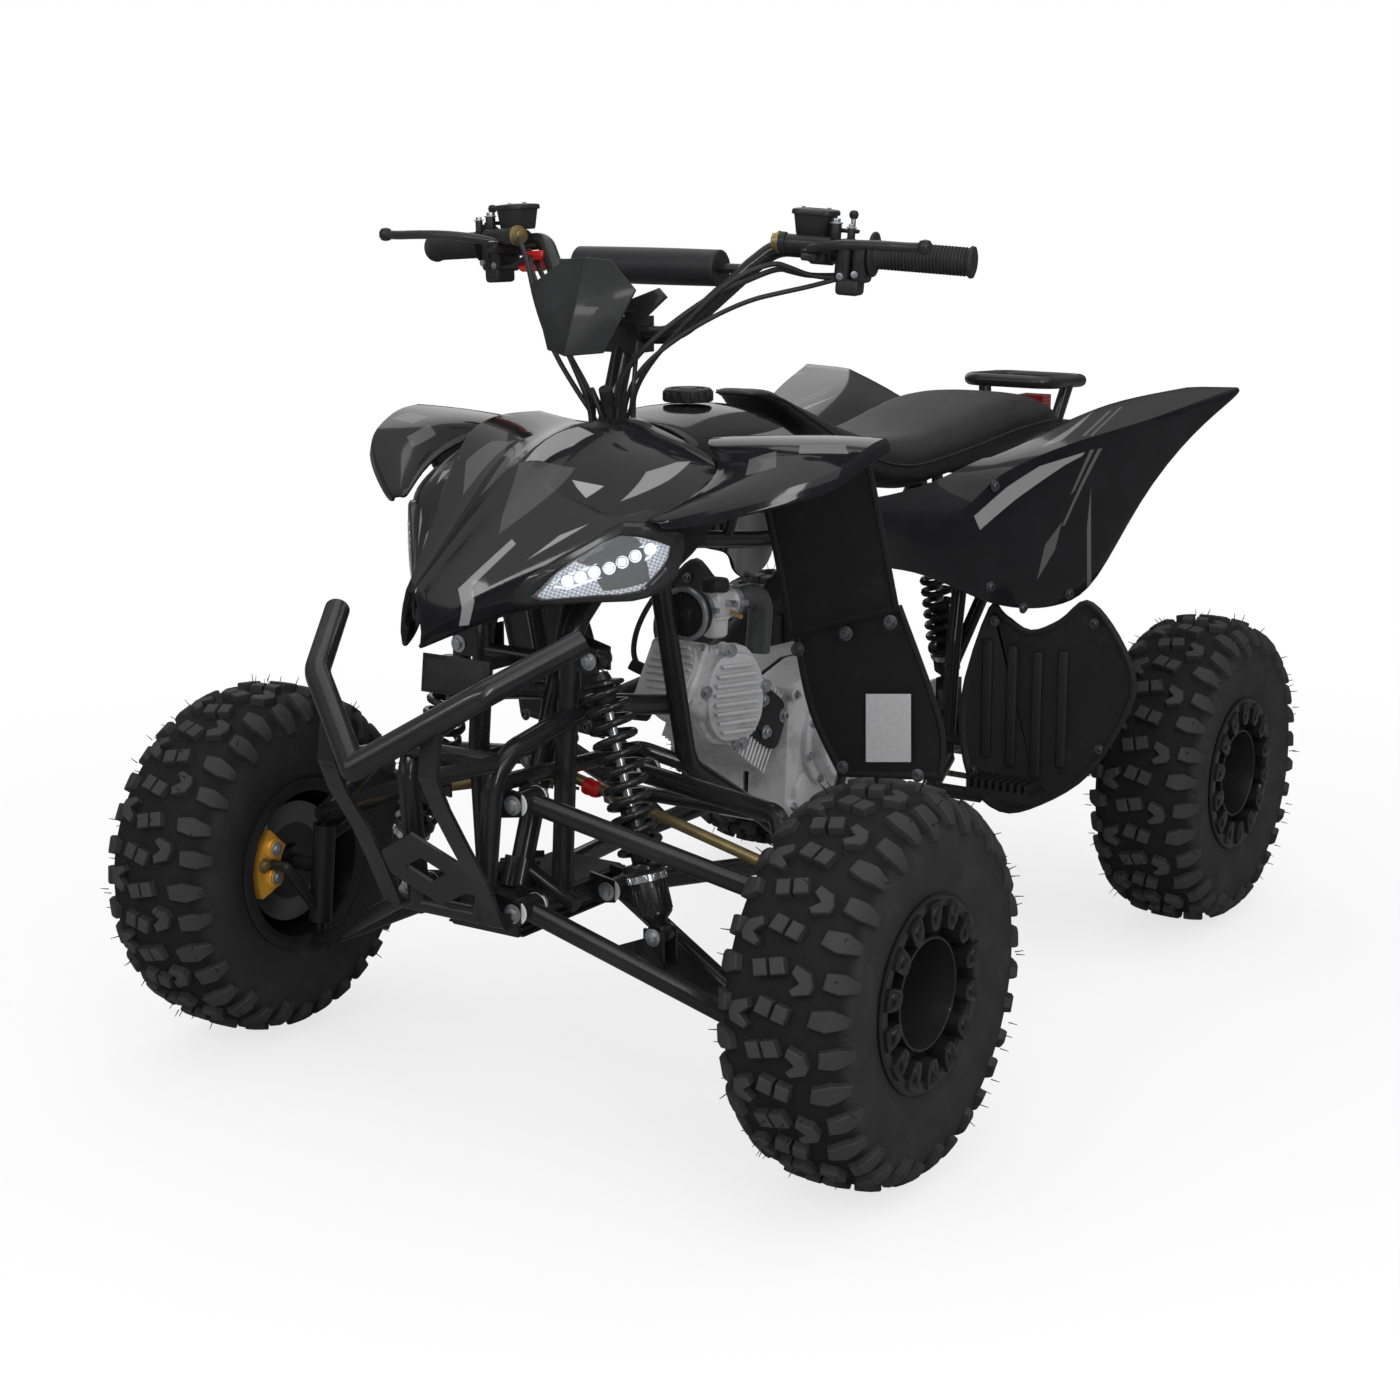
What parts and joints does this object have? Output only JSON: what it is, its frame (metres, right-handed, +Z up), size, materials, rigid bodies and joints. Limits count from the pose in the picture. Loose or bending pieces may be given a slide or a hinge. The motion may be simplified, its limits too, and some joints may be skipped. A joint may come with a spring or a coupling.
{
  "type": "quad bike",
  "caption": "Sport quad bike on four balloon tyres, with steered front wheels, a chain-driven rear axle, moulded fenders, saddle, bumper and rear rack.",
  "frame": {"origin": "on the ground under the middle of the overall length and width", "axes": "-Y towards the vehicle's front, +X towards its left side, +Z up"},
  "size_m": [1.106, 1.7219, 1.0852],
  "materials": {
    "frame_black": "gloss black powder coat",
    "shock_black": "gloss black",
    "spring_black": "gloss black coil",
    "engine_alloy": "cast alloy, silver paint",
    "exhaust_black": "matte heat-proof black",
    "chain_steel": "oiled steel",
    "gloss_panel": "gloss black moulding with grey stripes",
    "lamp_lens": "clear prismatic lens",
    "matte_black": "satin black moulding",
    "seat_vinyl": "matte black vinyl",
    "tail_lens": "red lens",
    "steel_lever": "zinc plated",
    "pad_vinyl": "black vinyl",
    "grip_rubber": "ribbed rubber",
    "control_black": "satin black alloy",
    "shield_grey": "satin dark grey",
    "cable_rubber": "black sheath",
    "gold_alloy": "gold anodised",
    "tyre_rubber": "block tread rubber",
    "rim_black": "satin black",
    "hub_steel": "machined steel",
    "zinc_yellow": "yellow zinc plate"
  },
  "bodies": {
    "frame": {"main_frame": "frame_black", "front_bumper": "frame_black", "upper_arms": "frame_black", "lower_arms": "frame_black", "front_shocks": "shock_black", "front_springs": "spring_black", "swingarm": "frame_black", "rear_shock": "shock_black", "rear_spring": "spring_black", "engine_case": "engine_alloy", "cylinder_head": "engine_alloy", "carburettor": "engine_alloy", "exhaust": "exhaust_black", "chain": "chain_steel", "front_cowl": "gloss_panel", "headlamps": "lamp_lens", "front_fenders": "gloss_panel", "tank_cover": "gloss_panel", "fuel_cap": "matte_black", "seat": "seat_vinyl", "rear_fenders": "gloss_panel", "tail_cover": "matte_black", "leg_shields": "matte_black", "heel_guards": "matte_black", "rear_rack": "frame_black", "tail_lamp": "tail_lens", "horn": "matte_black", "footpegs": "frame_black", "foot_levers": "steel_lever"},
    "steering": {"steering_stem": "frame_black", "handlebar": "frame_black", "crash_pad": "pad_vinyl", "grips": "grip_rubber", "switch_boxes": "matte_black", "brake_controls": "control_black", "number_shield": "shield_grey", "control_cables": "cable_rubber"},
    "knuckle_left": {"knuckle_left": "frame_black", "caliper_left": "gold_alloy"},
    "knuckle_right": {"knuckle_right": "frame_black", "caliper_right": "gold_alloy"},
    "front_wheel_left": {"front_tyre_left": "tyre_rubber", "front_rim_left": "rim_black", "front_hub_left": "hub_steel"},
    "front_wheel_right": {"front_tyre_right": "tyre_rubber", "front_rim_right": "rim_black", "front_hub_right": "hub_steel"},
    "rear_wheels": {"rear_axle": "hub_steel", "rear_tyre_left": "tyre_rubber", "rear_tyre_right": "tyre_rubber", "rear_rim_left": "rim_black", "rear_rim_right": "rim_black"},
    "tie_rod_left": {"tie_rod_left": "zinc_yellow"},
    "tie_rod_right": {"tie_rod_right": "zinc_yellow"}
  },
  "joints": [
    {"name": "steer", "type": "hinge", "parent": "frame", "child": "steering", "pos_m": [0, -0.324, 0.925], "axis": [0, 0.342, 0.9397], "range_deg": [-34, 34]},
    {"name": "kingpin_left", "type": "hinge", "parent": "frame", "child": "knuckle_left", "pos_m": [0.37202, -0.51094, 0.12992], "axis": [-0.0687, 0.0396, 0.9969], "range_deg": [-33, 33]},
    {"name": "front_spin_left", "type": "hinge", "parent": "knuckle_left", "child": "front_wheel_left", "pos_m": [0.469, -0.507, 0.232], "axis": [1, 0, 0], "continuous": true},
    {"name": "rod_pivot_left", "type": "hinge", "parent": "steering", "child": "tie_rod_left", "pos_m": [0.015, -0.47, 0.385], "axis": [0, 0.342, 0.9397], "range_deg": [-37, 37]},
    {"name": "kingpin_right", "type": "hinge", "parent": "frame", "child": "knuckle_right", "pos_m": [-0.37202, -0.51094, 0.12992], "axis": [0.0687, 0.0396, 0.9969], "range_deg": [-33, 33]},
    {"name": "front_spin_right", "type": "hinge", "parent": "knuckle_right", "child": "front_wheel_right", "pos_m": [-0.469, -0.507, 0.232], "axis": [1, 0, 0], "continuous": true},
    {"name": "rod_pivot_right", "type": "hinge", "parent": "steering", "child": "tie_rod_right", "pos_m": [-0.015, -0.47, 0.385], "axis": [0, 0.342, 0.9397], "range_deg": [-37, 37]},
    {"name": "rear_spin", "type": "hinge", "parent": "frame", "child": "rear_wheels", "pos_m": [0, 0.629, 0.232], "axis": [1, 0, 0], "continuous": true}
  ],
  "couplings": [
    {"joint": "kingpin_left", "follows": "steer", "ratio": 0.95},
    {"joint": "rod_pivot_left", "follows": "steer", "ratio": -1.068},
    {"joint": "kingpin_right", "follows": "steer", "ratio": 0.95},
    {"joint": "rod_pivot_right", "follows": "steer", "ratio": -1.068}
  ]
}
